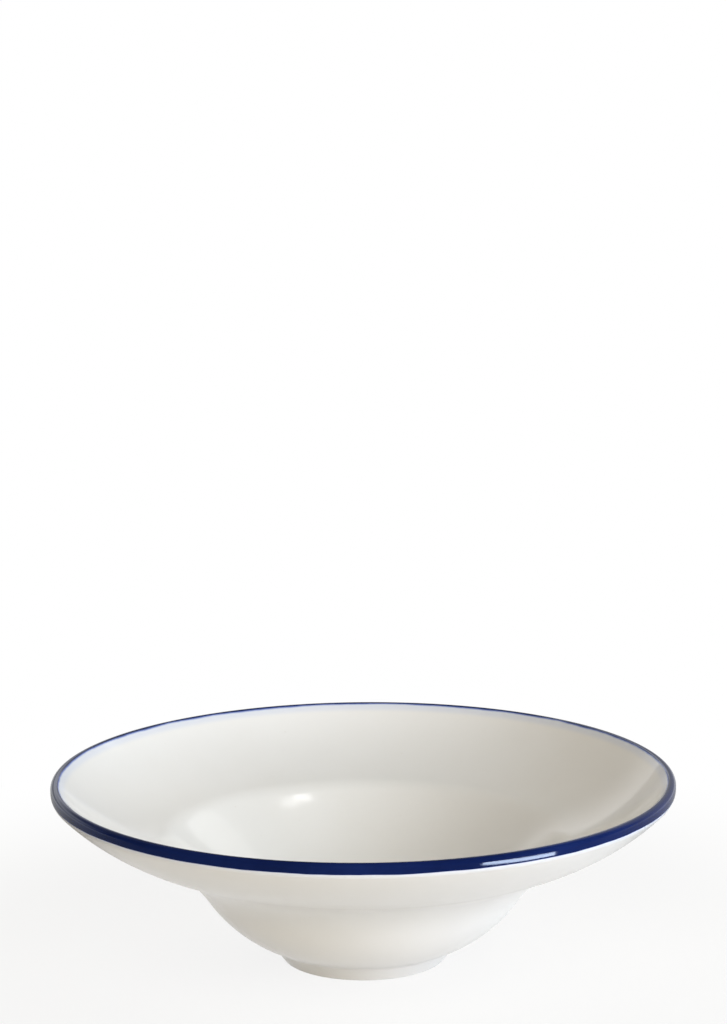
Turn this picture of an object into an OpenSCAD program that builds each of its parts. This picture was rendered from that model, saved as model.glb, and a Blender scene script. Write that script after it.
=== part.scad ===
// Rimmed soup plate in glazed ceramic with a cobalt-blue edge.
// One pressed body carries three coats of glaze and the fired band round its lip.
// Millimetres, +Z up, origin on the table at the centre of the foot.

/* [Overall] */
// Diameter over the lip
plate_d = 280; // [250:1:310]
// Height from the table to the top of the lip
plate_h = 84.5; // [76:0.5:96]

/* [Rim] */
// Thickness of the rim
rim_t = 6; // [4.8:0.1:8]
// Slope of the rim where it leaves the well, in degrees
rim_slope = 15; // [10:0.5:20]
// Rounding of the lip's upper edge
lip_r = 2.2; // [1.4:0.1:2.6]
// Rounding of the lip's lower edge
lip_low_r = 4; // [2:0.1:6]

/* [Well] */
// Diameter of the well at its mouth, before the shoulder is rounded
well_d = 180; // [168:1:190]
// Height of that mouth above the table
well_h = 56; // [51:0.1:62]
// Slope of the well's wall on the inside, in degrees
well_angle = 42.5; // [40:0.5:46]
// Thickness of the well's wall, two thirds of the way up to its mouth
wall_t = 5.4; // [4.6:0.1:7]
// Rounding of the shoulder between the well and the rim
shoulder_r = 20; // [12:0.5:30]
// Height of the floor above the table
floor_h = 11; // [9.5:0.1:14]
// Radius of the bend from the floor to the wall, inside
floor_bend_r = 40; // [32:1:50]

/* [Underside] */
// Slope of the well's wall on the outside, in degrees
bowl_angle = 55; // [52:0.5:60]
// Radius of the bend under the well, outside
bowl_bend_r = 62; // [54:1:70]
// Fillet where the wall meets the underside of the rim
under_fillet_r = 56; // [40:1:62]

/* [Foot] */
// Outer diameter of the foot ring at the table
foot_d = 73.6; // [64:0.1:84]
// Width of the foot ring
foot_w = 5.6; // [4.5:0.1:8]
// Depth of the recess inside the foot ring
foot_h = 3; // [2.2:0.1:4]
// Lean of the foot's outer wall away from upright, in degrees
foot_draft = 38; // [30:0.5:46]
// Rounding of the bare edges that stand on the table
foot_edge_r = 1.1; // [0.5:0.1:1.4]
// Fillet between the foot's outer wall and the bowl
foot_fillet_r = 6; // [3:0.5:9]
// Fillet between the foot's inner wall and the base
recess_fillet_r = 1.2; // [0.6:0.1:1.8]

/* [Glaze and band] */
// Thickness of the glaze and of the band
glaze_t = 0.4; // [0.2:0.05:0.6]
// How far the band runs onto the top of the rim, past the lip's rounded edge
band_in_w = 0.6; // [0.2:0.1:8]
// How far round the lip's lower edge the band reaches, in degrees below level
band_low_angle = 18; // [4:1:28]

/* [Hidden] */

// Fineness of a full turn, and the most that a chord may stray from a round stretch
$fn = 180;
chord_err = 0.03;

// Rim: its top is one arc from the well's mouth into the lip's upper edge, and its underside is concentric
lip_c = [plate_d / 2 - lip_r, plate_h - lip_r];
mouth = [well_d / 2, well_h];
mouth_up = [-sin(rim_slope), cos(rim_slope)];
rim_start = mouth - lip_r * mouth_up;
rim_chord = lip_c - rim_start;
rim_r = rim_chord * rim_chord / (2 * rim_chord * mouth_up);
rim_c = rim_start + rim_r * mouth_up;
rim_top_r = rim_r - lip_r;
rim_low_r = rim_top_r + rim_t;
lip_bearing = bearing(lip_c - rim_c);
band_bearing = lip_bearing - band_in_w / rim_top_r * 180 / PI;

// Lip: the lower edge is rounded as asked, or as far as the upper edge leaves room for
lip_reach = [plate_d / 2, lip_c.y] - rim_c;
lip_low_room = (rim_low_r * rim_low_r - lip_reach * lip_reach) / (2 * (rim_low_r - lip_reach.x));
lip_low_round = min(lip_low_r, lip_low_room);
lip_low_x = lip_reach.x - lip_low_round;
lip_low_c = rim_c + [lip_low_x, -sqrt(pow(rim_low_r - lip_low_round, 2) - lip_low_x * lip_low_x)];

// Well: the wall's direction on the inside, and the way into the wall from there
wall_dir = [cos(well_angle), sin(well_angle)];
wall_out = [sin(well_angle), -cos(well_angle)];
wall_bearing = well_angle - 90;
shoulder_c = meet(mouth + shoulder_r * wall_out, wall_dir, rim_c, rim_top_r + shoulder_r);
floor_bend_c = at_height(mouth - floor_bend_r * wall_out, wall_dir, floor_h + floor_bend_r);

// Underside: the same for the outside of the wall, which keeps the wall's thickness from a point of the inside.
// The fillet under the rim is as asked, or as far as the bend under the well leaves room for.
wall_point = at_height(mouth, wall_dir, well_h * 2 / 3);
bowl_dir = [cos(bowl_angle), sin(bowl_angle)];
bowl_out = [sin(bowl_angle), -cos(bowl_angle)];
bowl_bearing = bowl_angle - 90;
bowl_bend_c = at_height(wall_point + (wall_t - bowl_bend_r) * bowl_out, bowl_dir, foot_h + bowl_bend_r);
under_reach = bowl_bend_c + bowl_bend_r * bowl_out - rim_c;
under_room = (under_reach * under_reach - rim_low_r * rim_low_r) / (2 * (rim_low_r - under_reach * bowl_out));
under_round = min(under_fillet_r, under_room);
under_c = meet(wall_point + (wall_t + under_round) * bowl_out, bowl_dir, rim_c, rim_low_r + under_round);

// Foot: the outer wall's direction, and the centres of its fillets and of its bare edges
foot_dir = [sin(foot_draft), cos(foot_draft)];
foot_out = [cos(foot_draft), -sin(foot_draft)];
foot_inner_r = foot_d / 2 - foot_w;
foot_fillet_c = meet([foot_d / 2, 0] + foot_fillet_r * foot_out, foot_dir,
                     bowl_bend_c, bowl_bend_r + foot_fillet_r);
outer_edge_c = at_height([foot_d / 2, 0] - (foot_edge_r + glaze_t) * foot_out, foot_dir, foot_edge_r);
inner_edge_c = [foot_inner_r + glaze_t + foot_edge_r, foot_edge_r];
recess_round = min(recess_fillet_r, foot_h - foot_edge_r);
recess_round_c = [foot_inner_r - recess_round, foot_h - recess_round];

// Bearing of a direction, in degrees from level outward
function bearing(v) = atan2(v.y, v.x);

// First point where a line from p along the unit direction d enters a circle
function meet(p, d, c, r) =
    let (q = p - c, b = q * d)
    p + d * (-b - sqrt(b * b - q * q + r * r));

// Point of a line from p along d at a given height
function at_height(p, d, h) = p + d * (h - p.y) / d.y;

// Points along an arc, close enough to keep within chord_err
function arc(c, r, a0, a1) =
    let (n = max(2, ceil(abs(a1 - a0) / (2 * acos(1 - chord_err / r)))))
    [for (i = [0 : n]) let (a = a0 + (a1 - a0) * i / n) c + r * [cos(a), sin(a)]];

// A path without the points that two neighbouring stretches share
function joined(p) = [for (i = [0 : len(p) - 1]) if (i == 0 || norm(p[i] - p[i - 1]) > 0.001) p[i]];

function reversed(p) = [for (i = [len(p) - 1 : -1 : 0]) p[i]];

// The plate's outline in four coated stretches and the bare foot, each from the base
// outwards and back over the top. Depth is measured into the plate from the finished surface.
function base_path(depth) = joined(concat(
    [[0, foot_h + depth]],
    arc(recess_round_c, recess_round + depth, 90, 0),
    [inner_edge_c - [foot_edge_r + glaze_t - depth, 0]]));

function foot_path() = joined(concat(
    arc(inner_edge_c, foot_edge_r, 180, 270),
    arc(outer_edge_c, foot_edge_r, 270, 360 - foot_draft)));

function lower_path(depth) = joined(concat(
    [outer_edge_c + (foot_edge_r + glaze_t - depth) * foot_out],
    arc(foot_fillet_c, foot_fillet_r + depth, 180 - foot_draft, bearing(bowl_bend_c - foot_fillet_c)),
    arc(bowl_bend_c, bowl_bend_r - depth, bearing(foot_fillet_c - bowl_bend_c), bowl_bearing),
    arc(under_c, under_round + depth, bowl_bearing + 180, bearing(rim_c - under_c)),
    arc(rim_c, rim_low_r - depth, bearing(under_c - rim_c), bearing(lip_low_c - rim_c)),
    arc(lip_low_c, lip_low_round - depth, bearing(lip_low_c - rim_c), -band_low_angle)));

function band_path(depth) = joined(concat(
    arc(lip_low_c, lip_low_round - depth, -band_low_angle, 0),
    arc(lip_c, lip_r - depth, 0, lip_bearing + 180),
    arc(rim_c, rim_top_r + depth, lip_bearing, band_bearing)));

function upper_path(depth) = joined(concat(
    arc(rim_c, rim_top_r + depth, band_bearing, bearing(shoulder_c - rim_c)),
    arc(shoulder_c, shoulder_r - depth, bearing(rim_c - shoulder_c), wall_bearing + 180),
    arc(floor_bend_c, floor_bend_r + depth, wall_bearing, -90),
    [[0, floor_h - depth]]));

// A coat between the finished surface and the body under it
module coat(finished, under) {
    rotate_extrude() polygon(concat(finished, reversed(under)));
}

// The fired body: well, rim and foot ring pressed in one
module ceramic_body() {
    color("oldlace")
        rotate_extrude()
            polygon(joined(concat(base_path(glaze_t), foot_path(), lower_path(glaze_t),
                                  band_path(glaze_t), upper_path(glaze_t))));
}

// White glaze over the well and the top of the rim, up to the band
module upper_glaze() {
    color("whitesmoke") coat(upper_path(0), upper_path(glaze_t));
}

// White glaze over the outside, from the bare foot up to the band
module lower_glaze() {
    color("ivory") coat(lower_path(0), lower_path(glaze_t));
}

// White glaze in the recess inside the foot ring
module base_glaze() {
    color("ghostwhite") coat(base_path(0), base_path(glaze_t));
}

// Cobalt-blue band over the lip, flush with the glaze on both sides
module rim_band() {
    color("midnightblue") coat(band_path(0), band_path(glaze_t));
}

ceramic_body();
upper_glaze();
lower_glaze();
base_glaze();
rim_band();
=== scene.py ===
import math

import bmesh
import bpy
from mathutils import Matrix, Vector


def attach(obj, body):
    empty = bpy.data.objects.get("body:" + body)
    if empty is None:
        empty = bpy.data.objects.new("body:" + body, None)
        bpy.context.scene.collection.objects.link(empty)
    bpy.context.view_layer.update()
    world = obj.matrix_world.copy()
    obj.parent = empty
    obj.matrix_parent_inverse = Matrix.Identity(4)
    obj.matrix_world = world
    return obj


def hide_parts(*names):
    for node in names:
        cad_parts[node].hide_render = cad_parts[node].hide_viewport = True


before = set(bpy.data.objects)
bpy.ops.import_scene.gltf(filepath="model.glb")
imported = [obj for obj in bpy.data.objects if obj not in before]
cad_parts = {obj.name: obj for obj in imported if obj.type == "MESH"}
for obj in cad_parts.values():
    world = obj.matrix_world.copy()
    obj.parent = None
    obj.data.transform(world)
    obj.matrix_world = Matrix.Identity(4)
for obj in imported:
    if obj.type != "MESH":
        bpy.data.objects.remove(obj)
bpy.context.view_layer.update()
print("frame loaded with", len(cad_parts), "nodes")

scene = bpy.context.scene
scene.view_settings.view_transform = "Standard"

mm = 0.001

# Sizes of the plate in millimetres and degrees, the same as in the part
plate = {
    "width": 280, "height": 84.5,
    "rimThick": 6, "rimSlope": 15, "lipRound": 2.2, "lipLowRound": 4,
    "wellWidth": 180, "wellHeight": 56, "wellSlope": 42.5, "wallThick": 5.4, "shoulderRound": 20,
    "floorHeight": 11, "floorBend": 40,
    "bowlSlope": 55, "bowlBend": 62, "underRound": 56,
    "footWidth": 73.6, "footThick": 5.6, "footHeight": 3, "footDraft": 38,
    "footEdge": 1.1, "footRound": 6, "recessRound": 1.2,
    "coat": 0.4, "bandIn": 0.6, "bandLow": 18,
    "turns": 192, "degreesAStep": 4, "longestStep": 2.5, "sharpFrom": 35,
}


def way(degrees):
    turn = math.radians(degrees)
    return Vector((math.cos(turn), math.sin(turn)))


def bearing(v):
    return math.degrees(math.atan2(v.y, v.x))


def meet(start, along, centre, radius):
    # first point where a straight line enters a circle
    gap = start - centre
    b = gap.dot(along)
    return start + along * (-b - math.sqrt(b * b - gap.dot(gap) + radius * radius))


def atHeight(start, along, height):
    return start + along * ((height - start.y) / along.y)


def arc(centre, radius, first, last):
    span = abs(last - first)
    byLength = math.radians(span) * radius / plate["longestStep"]
    steps = math.ceil(max(2, span / plate["degreesAStep"], byLength))
    return [centre + radius * way(first + (last - first) * i / steps) for i in range(steps + 1)]


def joined(*stretches):
    # one path, without the points that neighbouring stretches share
    path = []
    for point in (p for stretch in stretches for p in stretch):
        if not path or (point - path[-1]).length > 0.001:
            path.append(point)
    return path


def plateCentres():
    p = plate
    c = {}
    c["lip"] = Vector((p["width"] / 2 - p["lipRound"], p["height"] - p["lipRound"]))
    mouth = Vector((p["wellWidth"] / 2, p["wellHeight"]))
    mouthUp = way(p["rimSlope"] + 90)
    rimStart = mouth - p["lipRound"] * mouthUp
    chord = c["lip"] - rimStart
    rimRadius = chord.dot(chord) / (2 * chord.dot(mouthUp))
    c["rim"] = rimStart + rimRadius * mouthUp
    c["rimTop"] = rimRadius - p["lipRound"]
    c["rimLow"] = c["rimTop"] + p["rimThick"]
    c["lipBearing"] = bearing(c["lip"] - c["rim"])
    c["bandBearing"] = c["lipBearing"] - math.degrees(p["bandIn"] / c["rimTop"])
    lowX = p["width"] / 2 - p["lipLowRound"] - c["rim"].x
    lowZ = math.sqrt((c["rimLow"] - p["lipLowRound"]) ** 2 - lowX * lowX)
    c["lipLow"] = c["rim"] + Vector((lowX, -lowZ))
    wall, intoWall = way(p["wellSlope"]), way(p["wellSlope"] - 90)
    bowl, outOfBowl = way(p["bowlSlope"]), way(p["bowlSlope"] - 90)
    c["shoulder"] = meet(mouth + p["shoulderRound"] * intoWall, wall,
                         c["rim"], c["rimTop"] + p["shoulderRound"])
    c["floorBend"] = atHeight(mouth - p["floorBend"] * intoWall, wall,
                              p["floorHeight"] + p["floorBend"])
    wallPoint = atHeight(mouth, wall, p["wellHeight"] * 2 / 3)
    c["under"] = meet(wallPoint + (p["wallThick"] + p["underRound"]) * outOfBowl, bowl,
                      c["rim"], c["rimLow"] + p["underRound"])
    c["bowlBend"] = atHeight(wallPoint + (p["wallThick"] - p["bowlBend"]) * outOfBowl, bowl,
                             p["footHeight"] + p["bowlBend"])
    c["footUp"], c["footOut"] = way(90 - p["footDraft"]), way(-p["footDraft"])
    footEdge = Vector((p["footWidth"] / 2, 0))
    c["footRound"] = meet(footEdge + p["footRound"] * c["footOut"], c["footUp"],
                          c["bowlBend"], p["bowlBend"] + p["footRound"])
    c["outerEdge"] = atHeight(footEdge - (p["footEdge"] + p["coat"]) * c["footOut"], c["footUp"],
                              p["footEdge"])
    innerRadius = p["footWidth"] / 2 - p["footThick"]
    c["innerEdge"] = Vector((innerRadius + p["coat"] + p["footEdge"], p["footEdge"]))
    c["recess"] = Vector((innerRadius - p["recessRound"], p["footHeight"] - p["recessRound"]))
    return c


centres = plateCentres()


# The outline in its coated stretches, each so far into the plate from the finished surface
def basePath(depth):
    inner = centres["innerEdge"] - Vector((plate["footEdge"] + plate["coat"] - depth, 0))
    return joined([Vector((0, plate["footHeight"] + depth))],
                  arc(centres["recess"], plate["recessRound"] + depth, 90, 0), [inner])


def footPath():
    return joined(arc(centres["innerEdge"], plate["footEdge"], 180, 270),
                  arc(centres["outerEdge"], plate["footEdge"], 270, 360 - plate["footDraft"]))


def lowerPath(depth):
    c, p = centres, plate
    bowlEnd = p["bowlSlope"] - 90
    lowEdge = bearing(c["lipLow"] - c["rim"])
    return joined([c["outerEdge"] + (p["footEdge"] + p["coat"] - depth) * c["footOut"]],
                  arc(c["footRound"], p["footRound"] + depth, 180 - p["footDraft"],
                      bearing(c["bowlBend"] - c["footRound"])),
                  arc(c["bowlBend"], p["bowlBend"] - depth,
                      bearing(c["footRound"] - c["bowlBend"]), bowlEnd),
                  arc(c["under"], p["underRound"] + depth,
                      bowlEnd + 180, bearing(c["rim"] - c["under"])),
                  arc(c["rim"], c["rimLow"] - depth, bearing(c["under"] - c["rim"]), lowEdge),
                  arc(c["lipLow"], p["lipLowRound"] - depth, lowEdge, -p["bandLow"]))


def bandPath(depth):
    c, p = centres, plate
    return joined(arc(c["lipLow"], p["lipLowRound"] - depth, -p["bandLow"], 0),
                  arc(c["lip"], p["lipRound"] - depth, 0, c["lipBearing"] + 180),
                  arc(c["rim"], c["rimTop"] + depth, c["lipBearing"], c["bandBearing"]))


def upperPath(depth):
    c, p = centres, plate
    wallEnd = p["wellSlope"] - 90
    return joined(arc(c["rim"], c["rimTop"] + depth,
                      c["bandBearing"], bearing(c["shoulder"] - c["rim"])),
                  arc(c["shoulder"], p["shoulderRound"] - depth,
                      bearing(c["rim"] - c["shoulder"]), wallEnd + 180),
                  arc(c["floorBend"], p["floorBend"] + depth, wallEnd, -90),
                  [Vector((0, p["floorHeight"] - depth))])


def turned(name, outline):
    # a closed outline, turned once round the plate's axis
    mesh = bpy.data.meshes.new(name)
    made = bmesh.new()
    turns = plate["turns"]
    rings = []
    for point in outline:
        if point.x < 0.001:
            rings.append([made.verts.new((0, 0, point.y * mm))])
            continue
        ring = []
        for i in range(turns):
            side = way(360 * i / turns) * point.x * mm
            ring.append(made.verts.new((side.x, side.y, point.y * mm)))
        rings.append(ring)
    for first, second in zip(rings, rings[1:] + rings[:1]):
        if len(first) == 1 and len(second) == 1:
            continue
        for i in range(turns):
            j = (i + 1) % turns
            corners = [first[i % len(first)], first[j % len(first)],
                       second[j % len(second)], second[i % len(second)]]
            made.faces.new(list(dict.fromkeys(corners)))
    bmesh.ops.recalc_face_normals(made, faces=made.faces)
    made.to_mesh(mesh)
    made.free()
    mesh.shade_smooth()
    mesh.set_sharp_from_angle(angle=math.radians(plate["sharpFrom"]))
    piece = bpy.data.objects.new(name, mesh)
    scene.collection.objects.link(piece)
    return piece


def coated(name, path):
    return turned(name, path(0) + path(plate["coat"])[::-1])


def dressed(piece, node, material):
    piece.data.materials.append(material)
    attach(piece, "root")
    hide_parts(node)
    print("made", piece.name, "with", len(piece.data.polygons), "faces")


class Wire:
    # a socket, so that shader maths can be written as an expression
    def __init__(self, tree, socket=None):
        self.tree = tree
        self.socket = socket

    def node(self, kind, settings=None, inputs=None, output=0):
        made = self.tree.nodes.new(kind)
        for key, value in (settings or {}).items():
            setattr(made, key, value)
        for key, value in (inputs or {}).items():
            if isinstance(value, Wire):
                self.tree.links.new(value.socket, made.inputs[key])
            else:
                made.inputs[key].default_value = value
        return Wire(self.tree, made.outputs[output] if len(made.outputs) else None)

    def maths(self, operation, first, second=0.0, third=0.0):
        return self.node("ShaderNodeMath", {"operation": operation}, {0: first, 1: second, 2: third})

    def __add__(self, other):
        return self.maths("ADD", self, other)

    def __radd__(self, other):
        return self.maths("ADD", other, self)

    def __sub__(self, other):
        return self.maths("SUBTRACT", self, other)

    def __rsub__(self, other):
        return self.maths("SUBTRACT", other, self)

    def __mul__(self, other):
        return self.maths("MULTIPLY", self, other)

    def __rmul__(self, other):
        return self.maths("MULTIPLY", other, self)

    def __pow__(self, other):
        return self.maths("POWER", self, other)

    def largest(self, other):
        return self.maths("MAXIMUM", self, other)

    def between(self, low, high):
        # 0 below low, 1 above high, and a soft step from one to the other
        return self.node("ShaderNodeMapRange", {"interpolation_type": "SMOOTHSTEP"},
                         {"Value": self, "From Min": low, "From Max": high})

    def blended(self, first, second):
        # from the first colour to the second as this value goes from 0 to 1
        return self.node("ShaderNodeMix", {"data_type": "RGBA"}, {0: self, 6: first, 7: second}, output=2)

    def noise(self, place, scale, detail=2.0, roughness=0.5):
        return self.node("ShaderNodeTexNoise", {}, {"Vector": place, "Scale": scale, "Detail": detail,
                                                   "Roughness": roughness})


def solid(colour):
    return (*colour, 1)


def newMaterial(name):
    material = bpy.data.materials.new(name)
    material.use_nodes = True
    material.node_tree.nodes.clear()
    return material, Wire(material.node_tree)


def shown(wire, shader):
    wire.node("ShaderNodeOutputMaterial", {}, {"Surface": shader})


def placeInScene(wire):
    # the point and its three coordinates, in metres
    point = wire.node("ShaderNodeTexCoord", {}, {}, output="Object")
    x, y, z = (wire.node("ShaderNodeSeparateXYZ", {}, {"Vector": point}, output=axis) for axis in "XYZ")
    return point, x, y, z


def placeOnPlate(wire):
    # the point, its distance from the axis and its height, in metres
    point, x, y, z = placeInScene(wire)
    return point, (x * x + y * y) ** 0.5, z


# How the blue lies on the lip: distances from the axis and heights in metres
blueEdge = {
    "innerStart": 0.1352, "innerFull": 0.1374, "innerWander": 0.0005,
    "lowStart": 0.0797, "lowFull": 0.0803, "lowWander": 0.0003,
    "haze": 0.003, "lowHaze": 0.0025, "hazeDepth": 0.16,
    "wanderScale": 55.0,
}


def blueAmount(wire, point, radius, height):
    # 0 on bare white glaze, 1 where the blue is full, and a faint haze beside it
    e = blueEdge
    wander = wire.noise(point, e["wanderScale"], 3.0) - 0.5
    inner = (radius + wander * (2 * e["innerWander"])).between(e["innerStart"], e["innerFull"])
    low = (height + wander * (2 * e["lowWander"])).between(e["lowStart"], e["lowFull"])
    haze = radius.between(e["innerStart"] - e["haze"], e["innerStart"]) * height.between(
        e["lowStart"] - e["lowHaze"], e["lowStart"]) * e["hazeDepth"]
    return (inner * low).largest(haze)


whiteGlaze = {
    "cream": (0.848, 0.839, 0.818), "milk": (0.876, 0.871, 0.858),
    "toneScale": 13.0, "toneFine": 70.0, "toneLow": 0.3, "toneHigh": 0.7, "toneShare": 0.7,
    "speckScale": 190.0, "speckColour": (0.55, 0.47, 0.36), "speckDepth": 0.12,
    "speckCore": 0.05, "speckEdge": 0.13, "speckSpread": 0.31, "speckFew": 0.68, "speckFewest": 0.74,
    "roughLow": 0.055, "roughHigh": 0.12, "roughScale": 38.0, "outsideRough": 0.17,
    "peelScale": 210.0, "peelHeight": 0.00006, "peelStrength": 0.06,
    "index": 1.52,
}

blueBand = {
    "deep": (0.0042, 0.0105, 0.062), "bright": (0.0072, 0.018, 0.102), "thin": (0.16, 0.22, 0.55),
    "pale": (0.66, 0.71, 0.84),
    "paleEnd": 0.3, "thinStart": 0.25, "thinEnd": 0.6, "fullStart": 0.5, "fullEnd": 0.9,
    "flowScale": 26.0, "strokeScale": 240.0, "flowLow": 0.32, "flowHigh": 0.68, "flowShare": 0.7,
    "roughLow": 0.05, "roughHigh": 0.11, "roughScale": 60.0,
    "index": 1.7, "glint": (0.72, 0.82, 1.0),
}


def whiteColour(wire, point):
    g = whiteGlaze
    broad = wire.noise(point, g["toneScale"], 3.0).between(g["toneLow"], g["toneHigh"]) * g["toneShare"]
    fine = wire.noise(point, g["toneFine"], 2.0) * (1 - g["toneShare"])
    white = (broad + fine).blended(solid(g["cream"]), solid(g["milk"]))
    specks = wire.node("ShaderNodeTexVoronoi", {}, {"Vector": point, "Scale": g["speckScale"]},
                       output="Distance")
    spread = wire.noise(point, g["speckScale"] * g["speckSpread"], 0.0)
    chosen = spread.between(g["speckFew"], g["speckFewest"])
    dot = (1 - specks.between(g["speckCore"], g["speckEdge"])) * chosen * g["speckDepth"]
    return dot.blended(white, solid(g["speckColour"]))


def blueColour(wire, point):
    b = blueBand
    flow = wire.noise(point, b["flowScale"], 3.0).between(b["flowLow"], b["flowHigh"]) * b["flowShare"]
    stroke = wire.noise(point, b["strokeScale"], 2.0) * (1 - b["flowShare"])
    return (flow + stroke).blended(solid(b["deep"]), solid(b["bright"]))


def painted(wire, amount, white, blue):
    # thin blue on white reads pale and clear, thick blue dark
    b = blueBand
    edge = amount.between(0.0, b["paleEnd"]).blended(white, solid(b["pale"]))
    body = amount.between(b["thinStart"], b["thinEnd"]).blended(edge, solid(b["thin"]))
    return amount.between(b["fullStart"], b["fullEnd"]).blended(body, blue)


def glazeBump(wire, point):
    g = whiteGlaze
    peel = wire.noise(point, g["peelScale"], 2.0)
    return wire.node("ShaderNodeBump", {}, {"Strength": g["peelStrength"], "Distance": g["peelHeight"],
                                           "Height": peel})


def makeWhiteGlaze(name, rougher):
    material, wire = newMaterial(name)
    point, radius, height = placeOnPlate(wire)
    g = whiteGlaze
    amount = blueAmount(wire, point, radius, height)
    colour = painted(wire, amount, whiteColour(wire, point), blueColour(wire, point))
    smooth = g["roughLow"] + rougher
    rough = wire.noise(point, g["roughScale"], 3.0) * (g["roughHigh"] - g["roughLow"]) + smooth
    shader = wire.node("ShaderNodeBsdfPrincipled", {}, {
        "Base Color": colour, "Roughness": rough, "IOR": g["index"], "Normal": glazeBump(wire, point)})
    shown(wire, shader)
    return material


def makeBlueBand():
    material, wire = newMaterial("blue_band")
    point, radius, height = placeOnPlate(wire)
    b = blueBand
    amount = blueAmount(wire, point, radius, height)
    colour = painted(wire, amount, whiteColour(wire, point), blueColour(wire, point))
    rough = wire.noise(point, b["roughScale"], 3.0) * (b["roughHigh"] - b["roughLow"]) + b["roughLow"]
    shader = wire.node("ShaderNodeBsdfPrincipled", {}, {
        "Base Color": colour, "Roughness": rough, "IOR": b["index"], "Specular Tint": solid(b["glint"]),
        "Normal": glazeBump(wire, point)})
    shown(wire, shader)
    return material


bareCeramic = {
    "light": (0.78, 0.74, 0.66), "dark": (0.66, 0.60, 0.51), "toneLow": 0.3, "toneHigh": 0.7,
    "grainScale": 900.0, "cloudScale": 45.0, "grainShare": 0.5,
    "roughLow": 0.62, "roughHigh": 0.85, "grainHeight": 0.00008, "grainStrength": 0.35,
}


def makeBareCeramic():
    material, wire = newMaterial("bare_ceramic")
    point = placeInScene(wire)[0]
    c = bareCeramic
    grain = wire.noise(point, c["grainScale"], 4.0, 0.65)
    cloud = wire.noise(point, c["cloudScale"], 3.0)
    tone = (grain * c["grainShare"] + cloud * (1 - c["grainShare"])).between(c["toneLow"], c["toneHigh"])
    colour = tone.blended(solid(c["dark"]), solid(c["light"]))
    rough = grain * (c["roughHigh"] - c["roughLow"]) + c["roughLow"]
    bump = wire.node("ShaderNodeBump", {}, {"Strength": c["grainStrength"], "Distance": c["grainHeight"],
                                           "Height": grain})
    shown(wire, wire.node("ShaderNodeBsdfPrincipled", {}, {
        "Base Color": colour, "Roughness": rough, "Normal": bump}))
    return material


glazeFinish = makeWhiteGlaze("white_glaze", 0.0)
outsideFinish = makeWhiteGlaze("white_glaze_outside", whiteGlaze["outsideRough"])
bandFinish = makeBlueBand()
ceramicFinish = makeBareCeramic()
print("finishes made")

bodyOutline = joined(basePath(plate["coat"]), footPath(), lowerPath(plate["coat"]), bandPath(plate["coat"]),
                     upperPath(plate["coat"]))
dressed(turned("ceramic_body_piece", bodyOutline), "ceramic_body", ceramicFinish)
dressed(coated("upper_glaze_piece", upperPath), "upper_glaze", glazeFinish)
dressed(coated("lower_glaze_piece", lowerPath), "lower_glaze", outsideFinish)
dressed(coated("base_glaze_piece", basePath), "base_glaze", outsideFinish)
dressed(coated("rim_band_piece", bandPath), "rim_band", bandFinish)

# Floor: pale, white where it is looked at, with the plate's shadow left in
floorLook = {"radius": 3.0, "sides": 96, "below": 0.0002, "colour": (0.69, 0.68, 0.66),
             "whiteNear": 0.86, "fadeFrom": 0.16, "fadeTo": 0.36}


def seenDirectly(wire):
    camera = wire.node("ShaderNodeLightPath", {}, {}, output="Is Camera Ray")
    glossy = wire.node("ShaderNodeLightPath", {}, {}, output="Is Glossy Ray")
    through = wire.node("ShaderNodeLightPath", {}, {}, output="Is Transmission Ray")
    return camera.largest(glossy).largest(through)


def makeFloor():
    mesh = bpy.data.meshes.new("floor")
    made = bmesh.new()
    bmesh.ops.create_circle(made, cap_ends=True, segments=floorLook["sides"], radius=floorLook["radius"])
    made.to_mesh(mesh)
    made.free()
    floor = bpy.data.objects.new("floor", mesh)
    floor.location.z = -floorLook["below"]
    scene.collection.objects.link(floor)
    material, wire = newMaterial("floor_white")
    radius = placeOnPlate(wire)[1]
    far = radius.between(floorLook["fadeFrom"], floorLook["fadeTo"])
    white = seenDirectly(wire) * (far * (1 - floorLook["whiteNear"]) + floorLook["whiteNear"])
    plain = wire.node("ShaderNodeBsdfDiffuse", {}, {"Color": solid(floorLook["colour"])})
    glow = wire.node("ShaderNodeEmission", {}, {"Color": (1, 1, 1, 1), "Strength": 1.0})
    top = wire.node("ShaderNodeMixShader", {}, {0: white, 1: plain, 2: glow})
    below = wire.node("ShaderNodeNewGeometry", {}, {}, output="Backfacing")
    clear = wire.node("ShaderNodeBsdfTransparent")
    shown(wire, wire.node("ShaderNodeMixShader", {}, {0: below, 1: top, 2: clear}))
    mesh.materials.append(material)


makeFloor()
print("floor laid")

# Lights: azimuth in degrees to the right of the camera's side and height in degrees above the table, seen
# from the point that the lamp faces; some only light the plate, others are only seen mirrored in its glaze
lampAim = (0, 0, 0.05)
keyLamp = {"azimuth": 60, "height": 12, "distance": 1.3, "wide": 0.70, "tall": 0.50, "power": 10.4,
           "colour": (0.82, 0.87, 1.0)}
sideLamp = {"azimuth": 82, "height": 28, "distance": 1.3, "wide": 0.70, "tall": 0.62, "power": 5.7,
            "colour": (0.87, 0.98, 1.0)}
frontLamp = {"azimuth": 0, "height": 35, "distance": 1.3, "wide": 0.80, "tall": 0.60, "power": 8.3,
             "colour": (1.0, 0.95, 0.865)}
backLamp = {"azimuth": 180, "height": 30, "distance": 1.3, "wide": 0.80, "tall": 0.50, "power": 7.4,
            "colour": (1.0, 0.93, 0.805)}
fillLamp = {"azimuth": -15, "height": 12, "distance": 1.3, "wide": 0.80, "tall": 0.45, "power": 4.0,
            "colour": (1.0, 0.89, 0.69)}
windowLamp = {"azimuth": 135.3, "height": 32.2, "distance": 0.3, "wide": 0.112, "tall": 0.084,
              "power": 0.024, "colour": (1.0, 1.0, 1.0), "aim": (-0.0701, 0.0385, 0.0468)}
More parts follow.
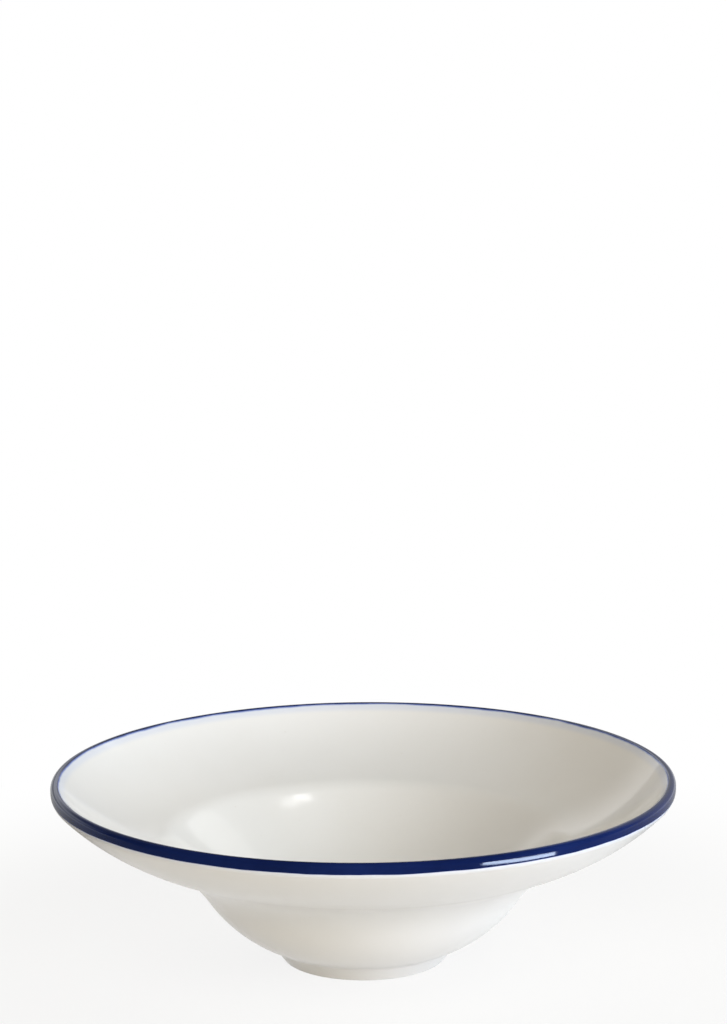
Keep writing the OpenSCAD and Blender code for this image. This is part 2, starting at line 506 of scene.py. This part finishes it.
barLamp = {"azimuth": 85.2, "height": 68.6, "distance": 0.15, "turn": -30, "wide": 0.009, "tall": 0.003,
           "power": 0.0009, "colour": (1.0, 1.0, 1.0), "aim": (-0.0327, 0.0786, 0.0516)}
dropLamp = {"azimuth": 91.4, "height": 65.2, "distance": 0.15, "turn": -30, "wide": 0.01, "tall": 0.005,
            "power": 0.00055, "colour": (1.0, 1.0, 1.0), "aim": (-0.0355, 0.0766, 0.0509)}
stripLamp = {"azimuth": 56.9, "height": -16.8, "distance": 0.2, "wide": 0.130, "tall": 0.012,
             "power": 0.058, "colour": (0.9, 0.95, 1.0), "aim": (0.0628, -0.1251, 0.0812)}
roomLight = {"colour": (1.0, 0.94, 0.86), "strength": 0.04}


def lamp(name, values, mirrored):
    data = bpy.data.lights.new(name, "AREA")
    data.shape = "RECTANGLE"
    data.size, data.size_y = values["wide"], values["tall"]
    data.energy = values["power"]
    data.color = values["colour"]
    made = bpy.data.objects.new(name, data)
    turn, rise = math.radians(values["azimuth"]), math.radians(values["height"])
    out = Vector((math.sin(turn) * math.cos(rise), -math.cos(turn) * math.cos(rise), math.sin(rise)))
    made.location = Vector(values.get("aim", lampAim)) + out * values["distance"]
    roll = Matrix.Rotation(math.radians(values.get("turn", 0)), 3, "Z")
    made.rotation_euler = (out.to_track_quat("Z", "Y").to_matrix() @ roll).to_euler()
    made.visible_camera = False
    made.visible_glossy = mirrored
    made.visible_diffuse = not mirrored
    scene.collection.objects.link(made)


lamp("key_softbox", keyLamp, False)
lamp("side_softbox", sideLamp, False)
lamp("front_softbox", frontLamp, False)
lamp("back_softbox", backLamp, False)
lamp("warm_fill", fillLamp, False)
lamp("window", windowLamp, True)
lamp("bar", barLamp, True)
lamp("drop", dropLamp, True)
lamp("strip", stripLamp, True)

# Dark cards round the plate, seen only by reflections, so that the blue stays deep; at the back and along
# the table they fade out and the white room is mirrored there
cards = {"radius": 1.7, "gap": 0.12, "lift": 0.002, "sides": 48, "rises": (0, 15, 30, 45, 60, 75, 89.9),
         "colour": (0.02, 0.02, 0.022), "leftEnd": 0.0, "rightStart": 0.2,
         "backFrom": 0.2, "backTo": 1.1, "topFrom": 1.2, "topTo": 1.6, "nearFrom": 0.12, "nearTo": 0.22,
         "open": 0.4, "glow": 0.45, "glowFrom": 0.02, "glowTo": 0.3, "glowSide": -0.25, "glowBack": 0.35,
         "sheen": 0.5, "sheenFrom": 0.42, "sheenFull": 0.455, "sheenEnd": 0.9, "shade": 0.28}


def makeCards():
    mesh = bpy.data.meshes.new("dark_card")
    made = bmesh.new()
    steps = cards["sides"]
    rings = [(cards["gap"], cards["lift"])]
    for rise in cards["rises"]:
        out = way(rise) * cards["radius"]
        rings.append((out.x, out.y + cards["lift"]))
    rows = []
    for radius, height in rings:
        rows.append([made.verts.new((math.sin(turn) * radius, -math.cos(turn) * radius, height))
                     for turn in (math.tau * i / steps for i in range(steps))])
    for first, second in zip(rows, rows[1:]):
        for i in range(steps):
            j = (i + 1) % steps
            made.faces.new((first[i], first[j], second[j], second[i]))
    made.to_mesh(mesh)
    made.free()
    card = bpy.data.objects.new("dark_card", mesh)
    scene.collection.objects.link(card)
    card.visible_camera = False
    card.visible_diffuse = False
    card.visible_shadow = False
    card.visible_transmission = False
    material, wire = newMaterial("dark_card")
    point, x, y, z = placeInScene(wire)
    away = wire.node("ShaderNodeVectorMath", {"operation": "LENGTH"}, {0: point}, output="Value")
    back = y.between(cards["backFrom"], cards["backTo"]) * (1 - z.between(cards["topFrom"], cards["topTo"]))
    glow = (1 - z.between(cards["glowFrom"], cards["glowTo"])) * cards["glow"] * y.between(
        cards["glowSide"], cards["glowBack"])
    left = 1 - x.between(cards["leftEnd"], cards["rightStart"])
    higher = z.between(cards["sheenFull"], cards["sheenEnd"])
    sheen = z.between(cards["sheenFrom"], cards["sheenFull"]) * (1 - higher) * cards["sheen"]
    lit = back * (left * (sheen - higher * cards["shade"]) + cards["open"]) + glow
    opened = lit.largest(1 - away.between(cards["nearFrom"], cards["nearTo"]))
    dark = wire.node("ShaderNodeBsdfDiffuse", {}, {"Color": solid(cards["colour"])})
    clear = wire.node("ShaderNodeBsdfTransparent")
    shown(wire, wire.node("ShaderNodeMixShader", {}, {0: opened, 1: dark, 2: clear}))
    mesh.materials.append(material)


makeCards()

world = bpy.data.worlds.new("studio")
world.use_nodes = True
world.node_tree.nodes.clear()
scene.world = world
sky = Wire(world.node_tree)
fill = sky.node("ShaderNodeBackground", {}, {"Color": solid(roomLight["colour"]),
                                            "Strength": roomLight["strength"]})
white = sky.node("ShaderNodeBackground", {}, {"Color": (1, 1, 1, 1), "Strength": 1.0})
mixed = sky.node("ShaderNodeMixShader", {}, {0: seenDirectly(sky), 1: fill, 2: white})
sky.node("ShaderNodeOutputWorld", {}, {"Surface": mixed})
print("lights set")

# Camera of the low three-quarter view
view = {"place": (0.0, -1.14475, 0.38994), "pan": -0.053, "tilt": 80.76, "roll": -0.42, "lens": 92.03}
cameraData = bpy.data.cameras.new("camera")
cameraData.sensor_fit = "VERTICAL"
cameraData.sensor_height = 36
cameraData.lens = view["lens"]
camera = bpy.data.objects.new("camera", cameraData)
facing = (Matrix.Rotation(math.radians(view["pan"]), 4, "Z")
          @ Matrix.Rotation(math.radians(view["tilt"]), 4, "X")
          @ Matrix.Rotation(math.radians(view["roll"]), 4, "Z"))
camera.matrix_world = Matrix.Translation(Vector(view["place"])) @ facing
scene.collection.objects.link(camera)
scene.camera = camera

print("scene ready")
